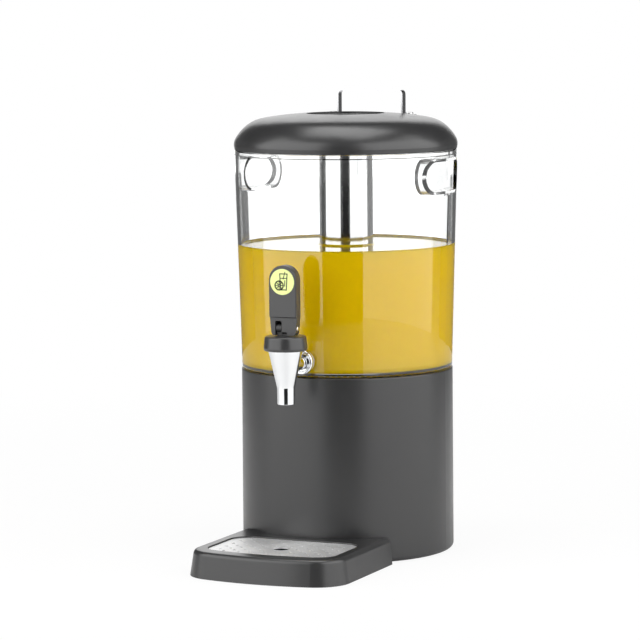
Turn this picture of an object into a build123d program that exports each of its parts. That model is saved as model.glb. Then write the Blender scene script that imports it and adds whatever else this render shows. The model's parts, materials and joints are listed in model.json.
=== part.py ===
from build123d import *
import math
import os

# Countertop juice dispenser. Millimetres, +Z up, -Y towards the user.
# The origin is on the body's axis, on the table plane.

# ---- Driving dimensions -------------------------------------------------

# Base cylinder
BASE_R = 101.0            # outside radius near the table
BASE_TOP_R = 100.6        # outside radius at the top edge
BASE_TOP_Z = 174.3
BASE_BOTTOM_Z = 0.8
BASE_WALL = 3.0
BASE_BOTTOM_ROUND = 4.0
DECK_Z = 168.0            # floor of the recess that locates the container
DECK_THICK = 3.0
RECESS_R = 95.8
PLATE_R = 88.0            # bottom plate
PLATE_THICK = 3.0
BOSS_CIRCLE_R = 80.0
FOOT_RING_R = (66.0, 74.0)

# Container
FLOOR_Z = 175.3           # underside of the container's outer edge
FLOOR_THICK = 3.2
CONTAINER_BOTTOM_R = 100.2
CONTAINER_TOP_R = 105.9
CONTAINER_WALL = 3.0
RIM_Z = 378.0             # underside of the thicker rim band
RIM_TOP_Z = 381.2
RIM_R = 106.1
SPIGOT_R = 103.2          # thin lip that reaches up inside the lid
SPIGOT_BORE_R = 101.6
SPIGOT_TOP_Z = 388.0
SKIRT_R = (91.5, 94.5)    # locating skirt under the floor
SKIRT_Z = 170.0

# Finger grips moulded into the container
GRIP_Z = 358.0
GRIP_HEIGHT = 28.0
GRIP_HALF_WIDTH = 38.5
GRIP_FLOOR_X = 89.0
GRIP_WALL = 2.6

# Juice
JUICE_TOP_Z = 291.0
LIQUID_GAP = 0.1

# Lid
LID_BOTTOM_Z = 381.5
LID_BOTTOM_R = 105.3
LID_SHELL = 2.8
LID_R = 106.1
LID_WIDEST_Z = 386.0
LID_CROWN_Z = 416.3
# Radius and height of points on the crown, and how far the surface leans there in degrees
LID_CROWN = ((50.4, 414.7, 3.5), (75.1, 411.8, 9), (87, 408.8, 25), (95.8, 403.1, 40), (103.2, 394.6, 62))
LID_SKIRT_GAP = 0.4
LID_RECESS_R = 37.0
LID_RECESS_FLOOR_Z = 407.5
LID_WELL_WALL = 2.4

# Lid handle
HANDLE_Y = 62.0
HANDLE_WIDTH = 68.5
HANDLE_TOP_Z = 436.0
STRIP = (8.0, 1.5)       # width and thickness of the bent strip
HANDLE_BEND_R = 5.0
HANDLE_FOOT = 11.0        # length of each foot outside its leg
HANDLE_SEAT_Z = (405.5, 410.6)
HANDLE_SCREW_R = 2.0

# Ice tube and its cap
TUBE_R = 25.6
TUBE_WALL = 0.8
TUBE_BOTTOM_Z = 186.0
TUBE_FLANGE_R = 33.5
TUBE_FLANGE_THICK = 1.2
TUBE_GASKET_THICK = 0.8
CAP_R = 36.5
CAP_TOP_Z = 413.6
CAP_PLUG_R = 24.3
CAP_PLUG_Z = 400.0
CAP_SEAL_Z = (402.6, 404.6)
CAP_WELL = (17.0, 9.0)    # radius and depth of the finger hollows
CAP_BAR = 8.0             # bar between the two hollows

# Tap
TAP_Y = -140.5
TAP_Z = 190.0             # height of the shank
CONE_TOP_Z = 206.1
CONE_BOTTOM_Z = 170.5
CONE_TOP_R = 16.3
SPOUT_R = 8.2
SPOUT_Z = 155.1
SPOUT_BORE_R = 5.5
SEAT_Z = 182.5
CHAMBER_R = 11.3
NECK_R = 14.4
NECK_TOP_Z = 213.0
BONNET_Z = (204.9, 218.2)
SHANK_R = 6.0
SHANK_BORE_R = 4.3
SHANK_SHOULDER_Y = -105.6
SHANK_END_Y = -86.5

# Lever
LEVER_HALF_WIDTH = 13.6
LEVER_TOP_Z = 283.2
LEVER_BOTTOM_Z = 218.7
LEVER_FRONT = -6.2        # face positions, measured from the tap's axis along Y
LEVER_FOOT_FRONT = -4.4
LEVER_BACK = 5.0
LEVER_STEP_Z = 236.0
PIN_Z = 225.1
PIN_R = 2.2
PIN_CLEARANCE = 0.05
SLOT_X = (-8.2, -1.8)     # slot in the lever's foot for the stem's eye
SLOT_TOP_Z = 232.2
GROOVE_X = (-8.2, 3.4)    # clearance under the foot for the stem's head
GROOVE_TOP_Z = 221.9
BADGE_R = 11.9
BADGE_Z = 268.2

# Drip tray and its grid
TRAY_HALF_WIDTH = 78.2
TRAY_FRONT_Y = -214.0
TRAY_BOW_R = 260.0
TRAY_CORNER_R = 32.0
TRAY_Z = (0.5, 24.5)
TRAY_DRAFT = 9.0          # degrees
TRAY_EDGE_ROUND = 4.5
TRAY_HORN_ROUND = 7.0     # rounding of the rear ends beside the base
TRAY_WALL = 2.4
TRAY_FLOOR_TOP_Z = 5.0
BASE_TRAY_GAP = 0.5
GRID_HALF_WIDTH = 63.5
GRID_Y = (-194.0, -112.0)  # front and rear edges on the centre line
GRID_CORNER_R = 17.0
GRID_TOP_Z = 23.2
GRID_THICK = 1.5
GRID_FIT = 0.4
HOLE_PITCH = 7.5
HOLE_R = 1.7
FINGER_HOLE = (-154.5, 8.1)  # Y of the centre, radius
TONGUE_HALF_WIDTH = 32.0
TONGUE_REACH = 18.0
TONGUE_Z = (7.0, 10.0)

os.makedirs("parts", exist_ok=True)


# ---- Helpers --------------------------------------------------------------

def section(points, rounds=None):
    """Closed outline of (radius, height) points; rounds maps a point's index to a fillet radius."""
    face = make_face(Polyline(*points, close=True))
    for index, radius in (rounds or {}).items():
        corner = face.vertices().sort_by_distance(Vector(*points[index], 0))[0]
        face = fillet(corner, radius)
    return Plane.XZ * face


def lathe(points, rounds=None):
    """Solid of revolution about Z."""
    return revolve(section(points, rounds), Axis.Z)


def tube(r_in, r_out, z_low, z_high):
    """Plain ring about Z."""
    outer = Pos(0, 0, z_low) * extrude(Circle(r_out), z_high - z_low)
    if r_in <= 0:
        return outer
    return outer - Pos(0, 0, z_low - 1) * extrude(Circle(r_in), z_high - z_low + 2)


def block(x, y, z):
    """Box from (low, high) pairs."""
    size = [high - low for low, high in (x, y, z)]
    centre = [(high + low) / 2 for low, high in (x, y, z)]
    return Pos(*centre) * Box(*size)


def rod_y(radius, y_low, y_high, x=0.0, z=0.0):
    """Cylinder along Y."""
    return Pos(x, (y_low + y_high) / 2, z) * Rot(90, 0, 0) * Cylinder(radius, y_high - y_low)


def rod_x(radius, x_low, x_high, y=0.0, z=0.0):
    """Cylinder along X."""
    return Pos((x_low + x_high) / 2, y, z) * Rot(0, 90, 0) * Cylinder(radius, x_high - x_low)


def container_r(z, inset=0.0):
    """Outside radius of the container's tapered wall at height z, less inset."""
    share = (z - FLOOR_Z) / (RIM_Z - FLOOR_Z)
    return CONTAINER_BOTTOM_R + share * (CONTAINER_TOP_R - CONTAINER_BOTTOM_R) - inset


def around(radius, count, first=0.0):
    """Places on a circle about the axis."""
    for i in range(count):
        angle = math.radians(first + 360 * i / count)
        yield Pos(radius * math.cos(angle), radius * math.sin(angle), 0)


def save(name, shape):
    """Write one node, with its solids side by side."""
    solids = shape.solids()
    node = solids[0] if len(solids) == 1 else Compound(children=list(solids))
    export_step(node, f"parts/{name}.step")


# ---- Base -----------------------------------------------------------------

def base_shell():
    """Cylinder with a recessed top deck, an inward bottom flange and four screw bosses."""
    inner_top_r = BASE_TOP_R - BASE_WALL
    shell = lathe(
        [
            (PLATE_R + 0.4, BASE_BOTTOM_Z),
            (BASE_R, BASE_BOTTOM_Z),
            (BASE_TOP_R, BASE_TOP_Z),
            (RECESS_R, BASE_TOP_Z),
            (RECESS_R, DECK_Z),
            (0, DECK_Z),
            (0, DECK_Z - DECK_THICK),
            (inner_top_r, DECK_Z - DECK_THICK),
            (BASE_R - BASE_WALL, BASE_BOTTOM_Z + PLATE_THICK + 4),
            (PLATE_R + 0.4, BASE_BOTTOM_Z + PLATE_THICK),
        ],
        {1: BASE_BOTTOM_ROUND, 2: 1.2, 3: 0.8},
    )
    boss_z = (BASE_BOTTOM_Z + PLATE_THICK, 40.0)
    for place in around(BOSS_CIRCLE_R, 4, 45):
        shell += place * tube(1.6, 4.5, *boss_z)
    for i in range(4):
        web = block((BOSS_CIRCLE_R + 3.5, BASE_R - BASE_WALL + 1), (-1.2, 1.2), (boss_z[0] + 4, boss_z[1]))
        shell += Rot(0, 0, 45 + 90 * i) * web
    slot = block(
        (-TONGUE_HALF_WIDTH - 0.5, TONGUE_HALF_WIDTH + 0.5),
        (-BASE_R - 5, -BASE_R + TONGUE_REACH + 2),
        (TONGUE_Z[0] - 0.4, TONGUE_Z[1] + 0.4),
    )
    return shell - slot


def base_bottom_plate():
    """Disc in the base's opening, with screw holes and a groove for the foot ring."""
    plate = tube(0, PLATE_R, BASE_BOTTOM_Z, BASE_BOTTOM_Z + PLATE_THICK)
    plate -= tube(FOOT_RING_R[0], FOOT_RING_R[1], BASE_BOTTOM_Z - 1, BASE_BOTTOM_Z + 1.5)
    for place in around(BOSS_CIRCLE_R, 4, 45):
        plate -= place * tube(0, 2.1, BASE_BOTTOM_Z - 1, BASE_BOTTOM_Z + PLATE_THICK + 1)
        plate -= place * tube(0, 4.0, BASE_BOTTOM_Z - 1, BASE_BOTTOM_Z + 1.9)
    return plate


def foot_ring():
    """Soft ring that the base stands on."""
    return lathe(
        [
            (FOOT_RING_R[0], 0),
            (FOOT_RING_R[1], 0),
            (FOOT_RING_R[1], BASE_BOTTOM_Z + 1.5),
            (FOOT_RING_R[0], BASE_BOTTOM_Z + 1.5),
        ],
        {0: 0.5, 1: 0.5},
    )


def screw(head_r, head_h, shank_r, length):
    """Pan-head screw with its shank up; the head's underside is at z=0."""
    head = Pos(0, 0, -head_h) * extrude(Circle(head_r), head_h)
    head = fillet(head.edges().group_by(Axis.Z)[0], head_h * 0.4)
    drive = block((-0.5, 0.5), (-head_r * 0.6, head_r * 0.6), (-head_h - 1, -head_h * 0.5))
    drive += Rot(0, 0, 90) * drive
    return head - drive + extrude(Circle(shank_r), length)


def base_screws():
    """Four screws through the bottom plate into the bosses."""
    one = Pos(0, 0, BASE_BOTTOM_Z + 1.9) * screw(3.6, 1.8, 1.55, 12)
    return Compound(children=[place * one for place in around(BOSS_CIRCLE_R, 4, 45)])


def container_gasket():
    """Thin soft ring in the base's recess, under the container's skirt."""
    return tube(SKIRT_R[0] - 2, SKIRT_R[1] + 0.5, DECK_Z, SKIRT_Z)


# ---- Container ------------------------------------------------------------

def container_outer():
    """The container's outside as a solid, without the rim."""
    return lathe(
        [(0, FLOOR_Z), (CONTAINER_BOTTOM_R, FLOOR_Z), (CONTAINER_TOP_R, RIM_Z), (0, RIM_Z)]
    )


def container_inner(gap=0.0, top=RIM_Z):
    """The container's inside as a solid, less a gap on each wall."""
    inset = CONTAINER_WALL + gap
    return lathe(
        [
            (0, FLOOR_Z + FLOOR_THICK + gap),
            (container_r(FLOOR_Z + FLOOR_THICK, inset), FLOOR_Z + FLOOR_THICK + gap),
            (container_r(top, inset), top),
            (0, top),
        ],
        {1: 4.0},
    )


def stadium(half_width, height):
    """Rounded slot outline, long in Y, as a prism along X."""
    outline = SlotOverall(2 * half_width, height)
    return Plane.YZ * extrude(outline, 140)


def container():
    """Tapered clear vessel with a rim, a spigot, a skirt and two recessed finger grips."""
    inner_r = container_r(RIM_Z, CONTAINER_WALL)
    body = container_outer()
    body = fillet(body.edges().group_by(Axis.Z)[0].sort_by(Axis.X)[-1:], 1.5)
    body += lathe(
        [
            (inner_r - 6, RIM_Z - 3),
            (container_r(RIM_Z - 3, 0.4), RIM_Z - 3),
            (RIM_R, RIM_Z),
            (RIM_R, RIM_TOP_Z),
            (SPIGOT_R, RIM_TOP_Z),
            (SPIGOT_R, SPIGOT_TOP_Z),
            (inner_r - 6, SPIGOT_TOP_Z),
        ],
        {2: 0.8, 3: 0.8, 5: 0.8},
    )
    body -= container_inner()
    body -= tube(0, SPIGOT_BORE_R, RIM_Z - 1, SPIGOT_TOP_Z + 1)
    body += tube(SKIRT_R[0], SKIRT_R[1], SKIRT_Z, FLOOR_Z + 0.5)
    envelope = container_outer()
    for side in (0, 180):
        pocket = Rot(0, 0, side) * Pos(GRIP_FLOOR_X, 0, GRIP_Z) * stadium(GRIP_HALF_WIDTH, GRIP_HEIGHT)
        shell = Rot(0, 0, side) * Pos(GRIP_FLOOR_X - GRIP_WALL, 0, GRIP_Z) * stadium(
            GRIP_HALF_WIDTH + GRIP_WALL, GRIP_HEIGHT + 2 * GRIP_WALL
        )
        body += shell & envelope
        body -= pocket
    body -= rod_y(SHANK_R + 0.1, -120, -80, z=TAP_Z)
    return body


def juice():
    """Drink that fills the container to its surface, around the ice tube and the tap's nut."""
    fill = container_inner(LIQUID_GAP, JUICE_TOP_Z)
    fill -= tube(0, TUBE_R + 0.35, TUBE_BOTTOM_Z - 0.5, JUICE_TOP_Z + 1)
    fill -= rod_y(12.4, -105, SHANK_END_Y + 1.5, z=TAP_Z)
    return fill


# ---- Tap ------------------------------------------------------------------

def at_tap(shape):
    """Move a shape drawn about Z onto the tap's vertical axis."""
    return Pos(0, TAP_Y, 0) * shape


def cone_r(z, inset=0.0):
    """Radius of the tap's cone at height z, less inset."""
    share = (z - CONE_BOTTOM_Z) / (CONE_TOP_Z - CONE_BOTTOM_Z)
    return SPOUT_R + share * (CONE_TOP_R - SPOUT_R) - inset


def tap_body():
    """Chromed cone with its spout below, threaded neck above and shank behind."""
    outside = lathe(
        [
            (0, SPOUT_Z),
            (SPOUT_R - 0.2, SPOUT_Z),
            (SPOUT_R, CONE_BOTTOM_Z),
            (CONE_TOP_R, CONE_TOP_Z),
            (NECK_R, CONE_TOP_Z),
            (NECK_R, NECK_TOP_Z),
            (0, NECK_TOP_Z),
        ],
        {1: 0.5},
    )
    root = rod_y(SHANK_R + 1.4, TAP_Y, SHANK_SHOULDER_Y, z=TAP_Z)
    shank = rod_y(SHANK_R, TAP_Y, SHANK_END_Y, z=TAP_Z)
    chamber = lathe(
        [
            (0, SPOUT_Z - 1),
            (SPOUT_BORE_R, SPOUT_Z - 1),
            (SPOUT_BORE_R, SEAT_Z),
            (cone_r(SEAT_Z, 3.1), SEAT_Z),
            (CHAMBER_R, SEAT_Z + 18),
            (CHAMBER_R, NECK_TOP_Z + 1),
            (0, NECK_TOP_Z + 1),
        ]
    )
    bore = rod_y(SHANK_BORE_R, TAP_Y, SHANK_END_Y + 1, z=TAP_Z)
    return at_tap(outside) + root + shank - at_tap(chamber) - bore


def tap_bonnet():
    """Dark screw cap on the tap's neck, with a bore for the stem."""
    low, high = BONNET_Z
    cap = lathe(
        [
            (CONE_TOP_R + 0.4, low),
            (19.6, low),
            (20.1, low + 2.5),
            (18.9, high),
            (3.1, high),
            (3.1, high - 4.2),
            (NECK_R + 0.1, high - 4.2),
            (NECK_R + 0.1, CONE_TOP_Z + 0.6),
            (CONE_TOP_R + 0.4, CONE_TOP_Z + 0.6),
        ],
        {1: 0.8, 3: 2.2},
    )
    return at_tap(cap)


def tap_collar():
    """Chromed ring between the shank's shoulder and the outer washer."""
    ring = section(
        [(8.4, 0), (11.6, 0), (11.6, 3.6), (SHANK_R + 0.1, 3.6), (SHANK_R + 0.1, 2.4), (8.4, 2.4)],
        {0: 1.2, 1: 1.5},
    )
    ring = revolve(ring, Axis.Z)
    return Pos(0, SHANK_SHOULDER_Y - 2.4, TAP_Z) * Rot(-90, 0, 0) * ring


def tap_outer_washer():
    """Soft washer, flat on the collar and curved to the container's wall."""
    face_y = SHANK_SHOULDER_Y + 1.2
    disc = rod_y(10.5, face_y, -95, z=TAP_Z) - rod_y(SHANK_R + 0.1, -120, -80, z=TAP_Z)
    return disc - container_outer()


def tap_inner_washer():
    """Soft washer inside the container, curved to its wall."""
    disc = rod_y(10.5, -99, -94.6, z=TAP_Z) - rod_y(SHANK_R + 0.1, -120, -80, z=TAP_Z)
    return disc & container_inner()


def tap_shank_nut():
    """Hexagon nut that clamps the tap from inside the container."""
    nut = extrude(RegularPolygon(11.4, 6), 5.2) - Pos(0, 0, -1) * extrude(Circle(SHANK_R + 0.05), 8)
    return Pos(0, -89.4, TAP_Z) * Rot(90, 0, 0) * nut


def valve_stem():
    """Rod through the bonnet, with a spring disc below and an offset eye for the lever's pin above."""
    rod = tube(0, 3.0, SEAT_Z + 3.2, BONNET_Z[1] + 0.2)
    disc = tube(0, 6.2, SEAT_Z + 6.4, SEAT_Z + 7.4)
    head_z = (BONNET_Z[1] + 0.2, BONNET_Z[1] + 1.9)
    eye_x = (SLOT_X[0] + 0.6, SLOT_X[1] - 0.6)
    head = block((eye_x[0], 2.8), (-1.5, 1.5), head_z)
    blade = block(eye_x, (-1.9, 1.9), (head_z[0], PIN_Z)) + rod_x(4.0, *eye_x, z=PIN_Z)
    eye = blade - rod_x(PIN_R, eye_x[0] - 1, eye_x[1] + 1, z=PIN_Z)
    return at_tap(rod + disc + head + eye)


def valve_seat_cup():
    """Soft cup on the stem's end that closes the spout's bore."""
    cup = lathe(
        [
            (0, SEAT_Z + 0.05),
            (7.0, SEAT_Z + 0.05),
            (7.0, SEAT_Z + 3.0),
            (5.0, SEAT_Z + 6.4),
            (3.0, SEAT_Z + 6.4),
            (3.0, SEAT_Z + 3.2),
            (0, SEAT_Z + 3.2),
        ],
        {1: 0.4, 2: 0.8},
    )
    return at_tap(cup)


def valve_spring():
    """Compression spring between the stem's disc and the bonnet."""
    wire_r, coil_r = 0.5, 4.8
    low, high = SEAT_Z + 7.4 + wire_r, BONNET_Z[1] - 4.2 - wire_r
    path = Helix(pitch=(high - low) / 6, height=high - low, radius=coil_r)
    wire = sweep(Plane(origin=path @ 0, z_dir=path % 0) * Circle(wire_r), path=path)
    return at_tap(Pos(0, 0, low) * wire)


def lever_pin():
    """Pin through the lever's foot and the stem's eye."""
    pin = rod_x(PIN_R, -11.6, 12.9, z=PIN_Z)
    pin = chamfer(pin.edges().sort_by(Axis.X)[-1], 0.6)
    return at_tap(pin)


def tap_lever():
    """Paddle lever: a flat round-topped front over a narrower, set-back foot with a slot for the eye."""
    top_centre = LEVER_TOP_Z - LEVER_HALF_WIDTH
    foot_half = 11.9
    outline = make_face(
        Line((-LEVER_HALF_WIDTH, top_centre), (-LEVER_HALF_WIDTH, LEVER_STEP_Z))
        + Line((-LEVER_HALF_WIDTH, LEVER_STEP_Z), (-foot_half, LEVER_BOTTOM_Z))
        + Line((-foot_half, LEVER_BOTTOM_Z), (foot_half, LEVER_BOTTOM_Z))
        + Line((foot_half, LEVER_BOTTOM_Z), (LEVER_HALF_WIDTH, LEVER_STEP_Z))
        + Line((LEVER_HALF_WIDTH, LEVER_STEP_Z), (LEVER_HALF_WIDTH, top_centre))
        + ThreePointArc((LEVER_HALF_WIDTH, top_centre), (0, LEVER_TOP_Z), (-LEVER_HALF_WIDTH, top_centre))
    )
    low_corners = outline.vertices().group_by(Axis.Y)[0]
    outline = fillet(low_corners, 3.5)
    body = Pos(0, LEVER_BACK, 0) * (Plane.XZ * extrude(outline, LEVER_BACK - LEVER_FRONT))
    body = fillet(body.faces().sort_by(Axis.Y)[-1].edges(), 1.6)
    body = fillet(body.faces().sort_by(Axis.Y)[0].edges(), 0.9)
    setback = block((-20, 20), (LEVER_FRONT - 1, LEVER_FOOT_FRONT), (LEVER_BOTTOM_Z - 1, LEVER_STEP_Z))
    inner_edge = setback.edges().filter_by(Axis.X).sort_by_distance((0, LEVER_FOOT_FRONT, LEVER_STEP_Z))[0]
    body -= fillet(inner_edge, 1.4)
    slot = block(SLOT_X, (LEVER_FRONT - 1, 4.3), (LEVER_BOTTOM_Z - 1, SLOT_TOP_Z))
    slot = fillet(slot.edges().filter_by(Axis.Y).group_by(Axis.Z)[-1], 1.2)
    groove = block(GROOVE_X, (LEVER_FRONT - 1, 3.4), (LEVER_BOTTOM_Z - 1, GROOVE_TOP_Z))
    body -= slot + groove
    body -= rod_x(PIN_R + PIN_CLEARANCE, -11.9, 20, z=PIN_Z)
    body -= Pos(0, LEVER_FRONT + 0.6, BADGE_Z) * Rot(90, 0, 0) * extrude(Circle(BADGE_R + 0.1), 5)
    return at_tap(body)


def lever_badge():
    """Round coloured badge set in the lever's front."""
    disc = extrude(Circle(BADGE_R), 1.0)
    disc = fillet(disc.edges().group_by(Axis.Z)[-1], 0.3)
    return at_tap(Pos(0, LEVER_FRONT + 0.6, BADGE_Z) * Rot(90, 0, 0) * disc)


# ---- Lid ------------------------------------------------------------------

def dome(inset=0.0):
    """Solid under the lid's crown, shrunk by inset along the surface's lean."""
    points = [(0, LID_CROWN_Z - inset)]
    for r, z, lean in LID_CROWN:
        angle = math.radians(lean)
        points.append((r - inset * math.sin(angle), z - inset * math.cos(angle)))
    widest = (LID_R - inset, LID_WIDEST_Z)
    low = (LID_BOTTOM_R - inset, LID_BOTTOM_Z)
    outline = (
        Spline(*points, widest, tangents=((1, 0), (0, -1)))
        + Line(widest, low)
        + Line(low, (0, LID_BOTTOM_Z))
        + Line((0, LID_BOTTOM_Z), points[0])
    )
    return revolve(Plane.XZ * make_face(outline), Axis.Z)


def handle_screw_places():
    """The two screw positions of the lid's handle."""
    x = (HANDLE_WIDTH + HANDLE_FOOT) / 2
    return Pos(-x, HANDLE_Y, 0), Pos(x, HANDLE_Y, 0)


def lid():
    """Domed lid with a round recess in its crown, a hole for the ice tube and two handle seats."""
    shell = dome()
    shell = fillet(shell.edges().group_by(Axis.Z)[0], 0.6)
    hollow = dome(LID_SHELL) - tube(0, LID_RECESS_R + LID_WELL_WALL, LID_RECESS_FLOOR_Z - 2.6, LID_CROWN_Z)
    hollow += tube(0, SPIGOT_R + LID_SKIRT_GAP, LID_BOTTOM_Z - 1, SPIGOT_TOP_Z + 1.8)
    shell -= hollow
    shell -= tube(0, LID_RECESS_R, LID_RECESS_FLOOR_Z, LID_CROWN_Z + 2)
    mouth = shell.edges().filter_by(GeomType.CIRCLE).sort_by_distance((LID_RECESS_R, 0, LID_CROWN_Z - 1))[0]
    shell = fillet(mouth, 0.7)
    shell -= tube(0, TUBE_R + 0.4, LID_RECESS_FLOOR_Z - 5, LID_CROWN_Z)
    for place in handle_screw_places():
        half_x, half_y = HANDLE_FOOT / 2 + 2.4, STRIP[0] / 2 + 0.8
        seat = block((-half_x - 2, half_x + 2), (-half_y - 2, half_y + 2), HANDLE_SEAT_Z)
        pocket = block((-half_x, half_x), (-half_y, half_y), (HANDLE_SEAT_Z[1], LID_CROWN_Z))
        shell += place * fillet(seat.edges().filter_by(Axis.Z), 2)
        shell -= place * fillet(pocket.edges().filter_by(Axis.Z), 1)
        shell -= place * tube(0, HANDLE_SCREW_R + 0.1, 400, 420)
    return shell


def lid_seal_ring():
    """Soft ring inside the lid, above the container's spigot."""
    return tube(SPIGOT_R - 2.2, SPIGOT_R + LID_SKIRT_GAP, SPIGOT_TOP_Z + 0.15, SPIGOT_TOP_Z + 1.8)


def lid_handle():
    """Strip bent to a U, with two drilled feet turned outwards."""
    width, thick = STRIP
    half = HANDLE_WIDTH / 2
    low, high = HANDLE_SEAT_Z[1], HANDLE_TOP_Z
    right = [
        (half, high),
        (half, low + thick),
        (half + HANDLE_FOOT, low + thick),
        (half + HANDLE_FOOT, low),
        (half - thick, low),
        (half - thick, high - thick),
    ]
    left = [(-x, z) for x, z in reversed(right)]
    rounds = {0: HANDLE_BEND_R, 1: 0.8, 4: 2.4, 5: HANDLE_BEND_R - thick}
    rounds |= {11 - index: radius for index, radius in rounds.items()}
    strip = extrude(section(right + left, rounds), width / 2, both=True)
    strip = Pos(0, HANDLE_Y, 0) * strip
    for place in handle_screw_places():
        strip -= place * tube(0, HANDLE_SCREW_R + 0.1, low - 1, low + thick + 1)
    return strip


def lid_handle_screws():
    """Two pan-head screws, heads up, through the handle's feet and the lid."""
    one = Pos(0, 0, HANDLE_SEAT_Z[1] + STRIP[1]) * Rot(180, 0, 0) * screw(3.8, 2.2, HANDLE_SCREW_R, 13)
    return Compound(children=[place * one for place in handle_screw_places()])


def lid_handle_nuts():
    """Two hexagon nuts under the lid."""
    nut = extrude(RegularPolygon(4.0, 6), 3) - Pos(0, 0, -1) * extrude(Circle(HANDLE_SCREW_R + 0.02), 5)
    return Compound(
        children=[place * Pos(0, 0, HANDLE_SEAT_Z[0] - 3) * nut for place in handle_screw_places()]
    )


# ---- Ice tube ---------------------------------------------------------------

def ice_tube():
    """Drawn steel tube with a closed, rounded end and a flange that rests in the lid."""
    top = LID_RECESS_FLOOR_Z + TUBE_GASKET_THICK + TUBE_FLANGE_THICK
    inner = TUBE_R - TUBE_WALL
    outside = [
        (0, TUBE_BOTTOM_Z),
        (TUBE_R, TUBE_BOTTOM_Z),
        (TUBE_R, top - TUBE_FLANGE_THICK),
        (TUBE_FLANGE_R, top - TUBE_FLANGE_THICK),
        (TUBE_FLANGE_R, top),
        (0, top),
    ]
    bore = [(0, TUBE_BOTTOM_Z + TUBE_WALL), (inner, TUBE_BOTTOM_Z + TUBE_WALL), (inner, top + 1), (0, top + 1)]
    return lathe(outside, {1: 5.0, 4: 0.4}) - lathe(bore, {1: 5.0 - TUBE_WALL})


def ice_tube_gasket():
    """Soft ring between the tube's flange and the lid's recess."""
    low = LID_RECESS_FLOOR_Z
    return tube(TUBE_R + 0.7, TUBE_FLANGE_R - 1, low, low + TUBE_GASKET_THICK)


def ice_tube_cap():
    """Plug cap in the lid's recess, with two finger hollows beside a bar."""
    low = LID_RECESS_FLOOR_Z + TUBE_GASKET_THICK + TUBE_FLANGE_THICK + 0.1
    groove_r = CAP_PLUG_R - 1.2
    cap = lathe(
        [
            (0, CAP_PLUG_Z),
            (CAP_PLUG_R, CAP_PLUG_Z),
            (CAP_PLUG_R, CAP_SEAL_Z[0]),
            (groove_r, CAP_SEAL_Z[0]),
            (groove_r, CAP_SEAL_Z[1]),
            (CAP_PLUG_R, CAP_SEAL_Z[1]),
            (CAP_PLUG_R, low),
            (CAP_R, low),
            (CAP_R, CAP_TOP_Z),
            (0, CAP_TOP_Z),
        ],
        {1: 0.8, 8: 0.8},
    )
    hollow = extrude(Circle(CAP_WELL[0]), CAP_WELL[1] + 1) & block((-30, 30), (CAP_BAR / 2, 30), (-1, 30))
    hollow = fillet(hollow.edges().filter_by(Axis.Z), 2.0)
    hollow = Pos(0, 0, CAP_TOP_Z - CAP_WELL[1]) * hollow
    return cap - hollow - Rot(0, 0, 180) * hollow


def cap_seal():
    """Soft ring in the cap's groove."""
    return tube(CAP_PLUG_R - 1.2, TUBE_R - TUBE_WALL - 0.1, *CAP_SEAL_Z)


# ---- Drip tray ----------------------------------------------------------------

def bowed(half_width, front_y, rear_y, corner_r, rear_corner_r=0.0):
    """Flat outline with straight sides, a bowed front and rounded corners."""
    sag = TRAY_BOW_R - math.sqrt(TRAY_BOW_R**2 - half_width**2)
    side_y = front_y + sag
    outline = make_face(
        ThreePointArc((-half_width, side_y), (0, front_y), (half_width, side_y))
        + Line((half_width, side_y), (half_width, rear_y))
        + Line((half_width, rear_y), (-half_width, rear_y))
        + Line((-half_width, rear_y), (-half_width, side_y))
    )
    outline = fillet(outline.vertices().group_by(Axis.Y)[0], corner_r)
    if rear_corner_r:
        outline = fillet(outline.vertices().group_by(Axis.Y)[-1], rear_corner_r)
    return outline


def grid_outline(grow=0.0):
    """The grid's outline, grown on every side."""
    return bowed(
        GRID_HALF_WIDTH + grow, GRID_Y[0] - grow, GRID_Y[1] + grow, GRID_CORNER_R + grow, GRID_CORNER_R + grow
    )


def tray_foot_places():
    """The tray's four feet."""
    return [Pos(x, y, 0) for x in (-48, 48) for y in (-176, -124)]


def drip_tray():
    """Tray with a drafted outer wall, a basin, a ledge for the grid, a hollow back and a locating tongue."""
    low, high = TRAY_Z
    rear_y = -45.0
    outer = Pos(0, 0, low) * extrude(
        bowed(TRAY_HALF_WIDTH, TRAY_FRONT_Y, rear_y, TRAY_CORNER_R), high - low, taper=TRAY_DRAFT
    )
    outer = fillet(outer.faces().sort_by(Axis.Z)[-1].edges(), TRAY_EDGE_ROUND)
    inner = Pos(0, 0, low) * extrude(
        bowed(TRAY_HALF_WIDTH - TRAY_WALL, TRAY_FRONT_Y + TRAY_WALL, rear_y, TRAY_CORNER_R - TRAY_WALL),
        high - low - 3.0,
        taper=TRAY_DRAFT,
    )
    inner -= tube(0, BASE_R + BASE_TRAY_GAP + TRAY_WALL, 0, 30)
    inner -= extrude(grid_outline(GRID_FIT + 2.0), high)
    plan = bowed(TRAY_HALF_WIDTH + 1, TRAY_FRONT_Y - 1, rear_y, TRAY_CORNER_R)
    plan -= Circle(BASE_R + BASE_TRAY_GAP)
    plan = fillet(plan.vertices().group_by(Axis.Y)[-1], TRAY_HORN_ROUND)
    tray = (outer & extrude(plan, high + 1)) - inner
    ledge_z = GRID_TOP_Z - GRID_THICK
    tray -= Pos(0, 0, ledge_z) * extrude(grid_outline(GRID_FIT), 10)
    basin = Pos(0, 0, TRAY_FLOOR_TOP_Z) * extrude(grid_outline(-3.0), 20)
    tray -= fillet(basin.faces().sort_by(Axis.Z)[0].edges(), 2.0)
    tongue = block(
        (-TONGUE_HALF_WIDTH, TONGUE_HALF_WIDTH),
        (-BASE_R - TRAY_WALL, -BASE_R + TONGUE_REACH),
        TONGUE_Z,
    )
    tongue = fillet(tongue.edges().filter_by(Axis.Z).group_by(Axis.Y)[-1], 5)
    tray += tongue
    for place in tray_foot_places():
        tray -= place * tube(0, 6.0, low - 1, low + 0.8)
    return tray


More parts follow.
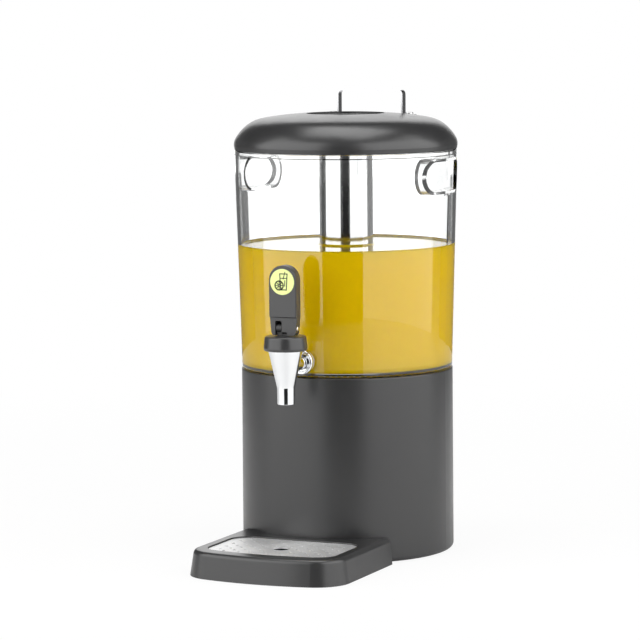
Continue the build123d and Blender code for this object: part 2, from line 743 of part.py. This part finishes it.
def tray_feet():
    """Four soft pads under the tray."""
    return Compound(children=[place * tube(0, 6.0, 0, TRAY_Z[0] + 0.8) for place in tray_foot_places()])


def drip_grid():
    """Perforated plate with staggered holes and one finger hole."""
    low = GRID_TOP_Z - GRID_THICK
    plate = grid_outline()
    margin = grid_outline(-HOLE_R - 2.4)
    finger_y, finger_r = FINGER_HOLE
    middle_y = (GRID_Y[0] + GRID_Y[1]) / 2
    holes = []
    columns = int(GRID_HALF_WIDTH / HOLE_PITCH)
    rows = int((GRID_Y[1] - GRID_Y[0]) / 2 / HOLE_PITCH)
    for i in range(-columns, columns + 1):
        for j in range(-rows, rows + 1):
            centre = Vector(i * HOLE_PITCH, middle_y + j * HOLE_PITCH, 0)
            clear = (centre - Vector(0, finger_y, 0)).length > finger_r + HOLE_R + 1.5
            if (i + j) % 2 == 0 and clear and margin.face().is_inside(centre):
                holes.append(Pos(centre) * Circle(HOLE_R))
    plate -= Pos(0, finger_y, 0) * Circle(finger_r)
    plate -= holes
    return Pos(0, 0, low) * extrude(plate, GRID_THICK)


# ---- Nodes --------------------------------------------------------------------

for make in (
    base_shell,
    base_bottom_plate,
    foot_ring,
    base_screws,
    container_gasket,
    container,
    juice,
    tap_body,
    tap_bonnet,
    tap_collar,
    tap_outer_washer,
    tap_inner_washer,
    tap_shank_nut,
    valve_stem,
    valve_seat_cup,
    valve_spring,
    lever_pin,
    tap_lever,
    lever_badge,
    lid,
    lid_seal_ring,
    lid_handle,
    lid_handle_screws,
    lid_handle_nuts,
    ice_tube,
    ice_tube_gasket,
    ice_tube_cap,
    cap_seal,
    drip_tray,
    tray_feet,
    drip_grid,
):
    save(make.__name__, make())
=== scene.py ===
"""Looks for the juice dispenser: materials, detailed pieces, soft studio light and the camera."""
import json
import math

import bmesh
import bpy
from mathutils import Matrix, Vector


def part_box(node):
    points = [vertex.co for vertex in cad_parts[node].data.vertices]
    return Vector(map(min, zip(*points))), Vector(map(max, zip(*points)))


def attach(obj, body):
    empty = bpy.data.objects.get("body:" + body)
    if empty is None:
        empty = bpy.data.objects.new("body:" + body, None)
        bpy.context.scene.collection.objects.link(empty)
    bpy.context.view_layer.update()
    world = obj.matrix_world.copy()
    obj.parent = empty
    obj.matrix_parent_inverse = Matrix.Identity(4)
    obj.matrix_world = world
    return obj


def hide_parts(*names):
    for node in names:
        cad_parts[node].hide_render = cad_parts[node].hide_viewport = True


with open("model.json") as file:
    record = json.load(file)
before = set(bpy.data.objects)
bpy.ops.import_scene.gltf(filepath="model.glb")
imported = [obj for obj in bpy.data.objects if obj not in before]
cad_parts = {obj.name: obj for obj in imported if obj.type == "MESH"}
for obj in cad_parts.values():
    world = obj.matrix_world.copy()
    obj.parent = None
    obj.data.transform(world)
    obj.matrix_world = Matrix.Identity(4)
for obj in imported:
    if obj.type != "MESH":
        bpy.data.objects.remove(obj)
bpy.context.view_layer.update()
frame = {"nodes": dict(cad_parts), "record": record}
MM = 0.001
TUBE_R = 25.6                  # outside radius of the ice tube, mm
VESSEL_WIDENING = 5.7 / 202.7  # radius that the vessel gains per height


def new_object(name, mesh):
    """Put a mesh into the scene as an object."""
    piece = bpy.data.objects.new(name, mesh)
    bpy.context.scene.collection.objects.link(piece)
    return piece


# ---- Material helpers -------------------------------------------------------

class Nodes:
    """A material's node tree, with short calls to add and link nodes."""

    def __init__(self, name):
        self.material = bpy.data.materials.new(name)
        self.material.use_nodes = True
        self.tree = self.material.node_tree
        self.shader = self.tree.nodes["Principled BSDF"]
        self.object_coords = None

    def add(self, kind, **values):
        node = self.tree.nodes.new(kind)
        for key, value in values.items():
            if key in node.inputs:
                node.inputs[key].default_value = value
            else:
                setattr(node, key, value)
        return node

    def link(self, output, target):
        self.tree.links.new(output, target)

    def coords(self):
        if self.object_coords is None:
            self.object_coords = self.add("ShaderNodeTexCoord").outputs["Object"]
        return self.object_coords

    def set(self, **values):
        for key, value in values.items():
            self.shader.inputs[key.replace("_", " ")].default_value = value

    def noise(self, scale, detail=3.0, stretch=(1, 1, 1)):
        """Noise over the object's own coordinates, stretched along its axes."""
        mapping = self.add("ShaderNodeMapping")
        mapping.inputs["Scale"].default_value = stretch
        self.link(self.coords(), mapping.inputs["Vector"])
        noise = self.add("ShaderNodeTexNoise", Scale=scale, Detail=detail)
        self.link(mapping.outputs["Vector"], noise.inputs["Vector"])
        return noise.outputs["Fac"]

    def ramp(self, value, low, high):
        """Spread a 0 to 1 value between two numbers or two colours."""
        if isinstance(low, tuple):
            node = self.add("ShaderNodeMix", data_type="RGBA")
            node.inputs[6].default_value = (*low, 1)
            node.inputs[7].default_value = (*high, 1)
            self.link(value, node.inputs[0])
            return node.outputs[2]
        node = self.add("ShaderNodeMapRange")
        node.inputs["To Min"].default_value = low
        node.inputs["To Max"].default_value = high
        self.link(value, node.inputs["Value"])
        return node.outputs["Result"]

    def bump(self, height, distance, strength=1.0):
        node = self.add("ShaderNodeBump", Distance=distance, Strength=strength)
        self.link(height, node.inputs["Height"])
        self.link(node.outputs["Normal"], self.shader.inputs["Normal"])


def scaled(colour, factor):
    return tuple(channel * factor for channel in colour)


def moulded_plastic(name, colour, roughness, grain=0.00002, ior=1.6):
    """Moulded plastic: faint blotches in the colour, uneven gloss and a fine spark-eroded grain."""
    n = Nodes(name)
    blotch = n.noise(18, 4)
    fine = n.noise(1600, 2)
    n.link(n.ramp(blotch, scaled(colour, 0.9), scaled(colour, 1.1)), n.shader.inputs["Base Color"])
    n.link(n.ramp(n.noise(60, 5), roughness - 0.05, roughness + 0.05), n.shader.inputs["Roughness"])
    n.bump(fine, grain)
    n.set(IOR=ior)
    return n.material


def bright_metal(name, colour, roughness, brush=None, brush_scale=900, depth=0.000004):
    """Steel or chrome plate: uneven gloss, faint smears, and brushing where brush gives its stretch."""
    n = Nodes(name)
    smear = n.noise(25, 5)
    n.link(n.ramp(smear, scaled(colour, 0.94), scaled(colour, 1.04)), n.shader.inputs["Base Color"])
    n.link(n.ramp(smear, roughness * 0.7, roughness * 1.4), n.shader.inputs["Roughness"])
    n.set(Metallic=1.0)
    if brush:
        n.bump(n.noise(brush_scale, 2, brush), depth)
    return n.material


def clear_plastic(name):
    """Polished clear polycarbonate with faint hairline haze."""
    n = Nodes(name)
    n.set(Base_Color=(0.985, 0.99, 0.99, 1), IOR=1.55, Transmission_Weight=1.0)
    n.link(n.ramp(n.noise(40, 6), 0.0, 0.02), n.shader.inputs["Roughness"])
    n.bump(n.noise(12, 2), 0.00004)
    return n.material


def drink(name, colour):
    """Cloudy juice: soft scattering with fine pulp."""
    n = Nodes(name)
    pulp = n.noise(260, 6)
    n.link(n.ramp(pulp, scaled(colour, 0.94), colour), n.shader.inputs["Base Color"])
    n.set(Subsurface_Weight=0.12, Subsurface_Radius=(0.006, 0.004, 0.001), Subsurface_Scale=1.0)
    n.set(IOR=1.35)
    n.link(n.ramp(n.noise(30, 3), 0.03, 0.06), n.shader.inputs["Roughness"])
    return n.material


def soft_rubber(name, colour, roughness=0.6, glow=0.0):
    """Soft rubber or silicone with a dull, dusty skin."""
    n = Nodes(name)
    dust = n.noise(90, 5)
    n.link(n.ramp(dust, scaled(colour, 0.85), scaled(colour, 1.1)), n.shader.inputs["Base Color"])
    n.link(n.ramp(n.noise(300, 3), roughness - 0.1, roughness + 0.1), n.shader.inputs["Roughness"])
    n.bump(n.noise(900, 2), 0.00003)
    n.set(Subsurface_Weight=glow, Subsurface_Radius=(0.002, 0.002, 0.002), Subsurface_Scale=1.0)
    return n.material


MATERIALS = {
    "dark_plastic": moulded_plastic("anthracite_plastic", (0.022, 0.022, 0.0225), 0.31, 0.000004),
    "tap_plastic": moulded_plastic("tap_plastic", (0.031, 0.031, 0.0315), 0.3, 0.000004),
    "black_plastic": moulded_plastic("black_plastic", (0.018, 0.018, 0.018), 0.5),
    "soft_rubber": soft_rubber("black_rubber", (0.015, 0.015, 0.015)),
    "silicone": soft_rubber("silicone", (0.6, 0.6, 0.58), 0.45, 0.3),
    "clear_plastic": clear_plastic("clear_polycarbonate"),
    "juice": drink("juice", (1.0, 0.70, 0.0)),
    "tap_chrome": bright_metal("chrome_plate", (0.86, 0.87, 0.88), 0.05),
    "polished_steel": bright_metal("polished_steel", (0.78, 0.78, 0.78), 0.07, (1, 1, 0.02)),
    "grid_steel": bright_metal("satin_steel", (0.90, 0.90, 0.90), 0.5, (0.02, 1, 1)),
    "steel_fastener": bright_metal("steel_fastener", (0.6, 0.6, 0.6), 0.3),
    "spring_steel": bright_metal("spring_steel", (0.55, 0.55, 0.56), 0.25),
    "badge": moulded_plastic("badge_label", (0.80, 0.90, 0.34), 0.35, 0.000005, 1.4),
}


def paint(node, material):
    """Give a CAD node one material."""
    mesh = frame["nodes"][node].data
    mesh.materials.clear()
    mesh.materials.append(material)


for part in frame["record"]["subparts"]:
    paint(part["node"], MATERIALS[part["material_slot"]])
paint("lid_handle", bright_metal("handle_steel", (0.50, 0.50, 0.51), 0.22, (1, 1, 0.02)))


# ---- Detailed pieces ----------------------------------------------------------

def lathe_mesh(name, outline, segments=192):
    """Smooth solid of revolution about Z from (radius, height) points in millimetres."""
    bm = bmesh.new()
    rings = []
    for radius, height in outline:
        if radius == 0:
            rings.append([bm.verts.new((0, 0, height * MM))])
            continue
        ring = []
        for i in range(segments):
            angle = 2 * math.pi * i / segments
            spot = (radius * MM * math.cos(angle), radius * MM * math.sin(angle), height * MM)
            ring.append(bm.verts.new(spot))
        rings.append(ring)
    for low, high in zip(rings, rings[1:]):
        for i in range(segments):
            j = (i + 1) % segments
            loop = [low[i % len(low)], low[j % len(low)], high[j % len(high)], high[i % len(high)]]
            bm.faces.new(list(dict.fromkeys(loop)))
    bmesh.ops.recalc_face_normals(bm, faces=bm.faces)
    mesh = bpy.data.meshes.new(name)
    bm.to_mesh(mesh)
    bm.free()
    mesh.shade_smooth()
    return new_object(name, mesh)


def add_juice():
    """The drink, wetting the vessel's wall and curving up where it meets the wall and the tube."""
    low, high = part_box("juice")
    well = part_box("ice_tube")[0].z / MM - 0.6    # floor of the hollow under the tube
    bottom, top = low.z / MM, high.z / MM
    skin = 0.35                       # past the drink's own edge, just inside the clear plastic
    wall_high = high.x / MM + skin
    wall_low = wall_high - VESSEL_WIDENING * (top - bottom)
    bore = TUBE_R + 0.15
    outline = [(0, well), (bore, well), (bore, top + 1.4), (bore + 0.5, top + 0.5)]
    outline += [(bore + step, top) for step in (1.5, 2.0, 2.5)]
    outline += [(wall_high - step, top) for step in (4.5, 4.0, 3.5)]
    meniscus = [(-2.0, 0.2), (-1.0, 0.6), (-0.4, 1.1), (0.04, 1.7), (0, 0)]
    outline += [(wall_high + out, top + up) for out, up in meniscus]
    lower_edge = [(0.1, 4.5), (-0.6, 1.2), (-3.6, -0.3)]
    outline += [(wall_low + out, bottom + up) for out, up in lower_edge]
    outline.append((0, bottom - 0.3))
    piece = lathe_mesh("juice_body", outline)
    piece.data.materials.append(MATERIALS["juice"])
    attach(piece, "container")
    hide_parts("juice")


def add_stroke(bm, start, end, width, front):
    """Thin raised bar between two (x, z) points in millimetres from the badge's centre."""
    proud, depth = 0.12 * MM, 0.4 * MM
    start, end = Vector(start) * MM, Vector(end) * MM
    along = (end - start).normalized()
    cap = along * width * MM / 2
    side = Vector((-along.y, along.x)) * (width * MM / 2)
    ring = [start + side - cap, end + side + cap, end - side + cap, start - side - cap]
    near = [bm.verts.new((front.x + p.x, front.y - proud, front.z + p.y)) for p in ring]
    far = [bm.verts.new((front.x + p.x, front.y + depth, front.z + p.y)) for p in ring]
    bm.faces.new(near)
    bm.faces.new(far[::-1])
    for i in range(4):
        j = (i + 1) % 4
        bm.faces.new((near[i], far[i], far[j], near[j]))


def add_loop(bm, corners, width, front):
    """Closed line of bars through the corners."""
    for start, end in zip(corners, corners[1:] + corners[:1]):
        add_stroke(bm, start, end, width, front)


def add_fruit_slice(bm, front):
    """Rim and spokes of a slice of fruit."""
    centre_x, centre_z, radius, steps = -2.9, -3.3, 4.1, 24
    rim = []
    for i in range(steps):
        angle = 2 * math.pi * i / steps
        rim.append((centre_x + radius * math.cos(angle), centre_z + radius * math.sin(angle)))
    add_loop(bm, rim, 1.0, front)
    for x, z in rim[::3]:
        inner = (centre_x + (x - centre_x) * 0.2, centre_z + (z - centre_z) * 0.2)
        add_stroke(bm, inner, (x, z), 0.75, front)


def add_badge_icon():
    """Black pictogram on the badge: a tall glass with its level and a straw, and a slice of fruit."""
    low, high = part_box("lever_badge")
    front = Vector(((low.x + high.x) / 2, low.y, (low.z + high.z) / 2))
    bm = bmesh.new()
    add_loop(bm, [(-2.2, 7.4), (5.2, 7.4), (4.3, -7.2), (-1.4, -7.2)], 0.9, front)
    add_stroke(bm, (-1.9, 3.4), (4.9, 3.4), 0.7, front)
    add_stroke(bm, (1.2, 2.8), (3.0, 9.0), 0.7, front)
    add_stroke(bm, (2.6, -3.6), (2.9, 1.2), 0.8, front)
    add_fruit_slice(bm, front)
    bmesh.ops.recalc_face_normals(bm, faces=bm.faces)
    mesh = bpy.data.meshes.new("badge_icon")
    bm.to_mesh(mesh)
    bm.free()
    icon = new_object("badge_icon", mesh)
    mesh.materials.append(MATERIALS["black_plastic"])
    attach(icon, "lever")


add_juice()
add_badge_icon()


# ---- Stage, light and camera ------------------------------------------------

def add_floor():
    """Wide white table top."""
    mesh = bpy.data.meshes.new("floor")
    half = 12.0
    corners = [(-half, -half, 0), (half, -half, 0), (half, half, 0), (-half, half, 0)]
    mesh.from_pydata(corners, [], [(0, 1, 2, 3)])
    floor = new_object("floor", mesh)
    mesh.materials.append(floor_white())


def floor_white():
    """White surface: bright in the camera's view with a faint shadow, plain matt white for light.

    The glow's share grows away from the object, so that the far floor meets the white background.
    """
    n = Nodes("floor_white")
    n.link(n.ramp(n.noise(3, 2), (0.78, 0.78, 0.78), (0.82, 0.82, 0.82)), n.shader.inputs["Base Color"])
    n.set(Roughness=0.8)
    glow = n.add("ShaderNodeEmission", Strength=1.0)
    mix = n.add("ShaderNodeMixShader")
    path = n.add("ShaderNodeLightPath")
    reach = n.add("ShaderNodeVectorMath", operation="LENGTH")
    n.link(n.coords(), reach.inputs[0])
    fade = n.add("ShaderNodeMapRange")
    limits = {"From Min": 0.45, "From Max": 1.2, "To Min": 0.91, "To Max": 1.0}
    for key, value in limits.items():
        fade.inputs[key].default_value = value
    n.link(reach.outputs["Value"], fade.inputs["Value"])
    share = n.add("ShaderNodeMath", operation="MULTIPLY")
    n.link(fade.outputs["Result"], share.inputs[1])
    n.link(path.outputs["Is Camera Ray"], share.inputs[0])
    n.link(share.outputs[0], mix.inputs[0])
    n.link(n.shader.outputs[0], mix.inputs[1])
    n.link(glow.outputs[0], mix.inputs[2])
    n.link(mix.outputs[0], n.tree.nodes["Material Output"].inputs["Surface"])
    return n.material


VIEW_AZIMUTH = math.radians(23.63)      # the camera's place, turned from -Y towards +X


def around_object(azimuth, distance, height):
    """A place at an azimuth measured from the camera's own direction, to the right in its view."""
    angle = VIEW_AZIMUTH + azimuth
    return Vector((distance * math.sin(angle), -distance * math.cos(angle), height))


def add_panel(name, azimuth, distance, height, size, radiance, aim_height=0.25):
    """Large softbox facing the object. Its power is worked out from the radiance wanted."""
    light = bpy.data.lights.new(name, "AREA")
    light.shape = "RECTANGLE"
    light.size, light.size_y = size
    light.energy = radiance * math.pi * size[0] * size[1]
    lamp = bpy.data.objects.new(name, light)
    lamp.location = around_object(math.radians(azimuth), distance, height)
    aim = Vector((0, 0, aim_height)) - lamp.location
    lamp.rotation_euler = aim.to_track_quat("-Z", "Y").to_euler()
    lamp.visible_camera = False
    bpy.context.scene.collection.objects.link(lamp)


def add_card(name, azimuths, distance, heights, radiance):
    """Upright curved softbox around the object between two azimuths, lit on its inner face."""
    steps = max(2, int(abs(azimuths[1] - azimuths[0]) / 6))
    verts, faces = [], []
    for i in range(steps + 1):
        azimuth = math.radians(azimuths[0] + (azimuths[1] - azimuths[0]) * i / steps)
        verts += [around_object(azimuth, distance, height) for height in heights]
    for i in range(steps):
        faces.append((2 * i, 2 * i + 1, 2 * i + 3, 2 * i + 2))
    mesh = bpy.data.meshes.new(name)
    mesh.from_pydata(verts, [], faces)
    card = new_object(name, mesh)
    n = Nodes(name)
    glow = n.add("ShaderNodeEmission", Strength=radiance)
    n.link(glow.outputs[0], n.tree.nodes["Material Output"].inputs["Surface"])
    mesh.materials.append(n.material)
    card.visible_camera = False


def add_world():
    """White for the camera, dim grey for light and mirror images."""
    world = bpy.data.worlds.new("studio")
    bpy.context.scene.world = world
    world.use_nodes = True
    nodes, links = world.node_tree.nodes, world.node_tree.links
    path = nodes.new("ShaderNodeLightPath")
    dim = nodes["Background"]
    dim.inputs["Color"].default_value = (1, 1, 1, 1)
    dim.inputs["Strength"].default_value = 0.04
    white = nodes.new("ShaderNodeBackground")
    white.inputs["Color"].default_value = (1, 1, 1, 1)
    white.inputs["Strength"].default_value = 1.0
    mix = nodes.new("ShaderNodeMixShader")
    links.new(path.outputs["Is Camera Ray"], mix.inputs[0])
    links.new(dim.outputs[0], mix.inputs[1])
    links.new(white.outputs[0], mix.inputs[2])
    links.new(mix.outputs[0], nodes["World Output"].inputs["Surface"])


def add_camera():
    """Long lens at the height and angle that shows the front and the right side."""
    data = bpy.data.cameras.new("camera")
    data.sensor_width = 36.0
    data.lens = 180.2
    camera = bpy.data.objects.new("camera", data)
    camera.location = around_object(0, 3.0383, 0.5503)
    pan, pitch, roll = math.radians(-0.4853), math.radians(6.2335), math.radians(-0.4556)
    camera.rotation_euler = (
        Matrix.Rotation(VIEW_AZIMUTH - pan, 3, "Z")
        @ Matrix.Rotation(math.pi / 2 - pitch, 3, "X")
        @ Matrix.Rotation(roll, 3, "Z")
    ).to_euler()
    bpy.context.scene.collection.objects.link(camera)
    bpy.context.scene.camera = camera


# name, azimuths from the camera's side in degrees, distance, heights in metres, radiance
CARDS = [
    ("left_softbox", (-96, -24), 1.5, (0.0, 0.36), 1.8),
    ("left_softbox_upper", (-100, -24), 1.5, (0.36, 2.2), 2.6),
    ("right_softbox", (16, 101), 1.5, (0.0, 0.36), 1.7),
    ("right_softbox_upper", (16, 105), 1.5, (0.36, 2.2), 2.6),
    ("front_flag", (-24, 16), 0.75, (0.0, 0.3), 0.02),
    ("backdrop", (170, 190), 1.5, (0.0, 0.26), 1.6),
    ("backdrop_upper", (160, 200), 1.5, (0.26, 1.3), 1.6),
    ("left_flat", (200, 245), 1.5, (0.0, 0.8), 0.14),
    ("right_flat", (115, 160), 1.5, (0.0, 0.8), 0.14),
    ("left_flat_low", (190, 200), 1.5, (0.0, 0.26), 0.2),
    ("right_flat_low", (160, 170), 1.5, (0.0, 0.26), 0.2),
]

add_floor()
add_world()
for card in CARDS:
    add_card(*card)
add_panel("top_softbox", 0, 0.0, 2.2, (1.5, 1.2), 4.0)
add_camera()
bpy.context.scene.view_settings.view_transform = "Standard"
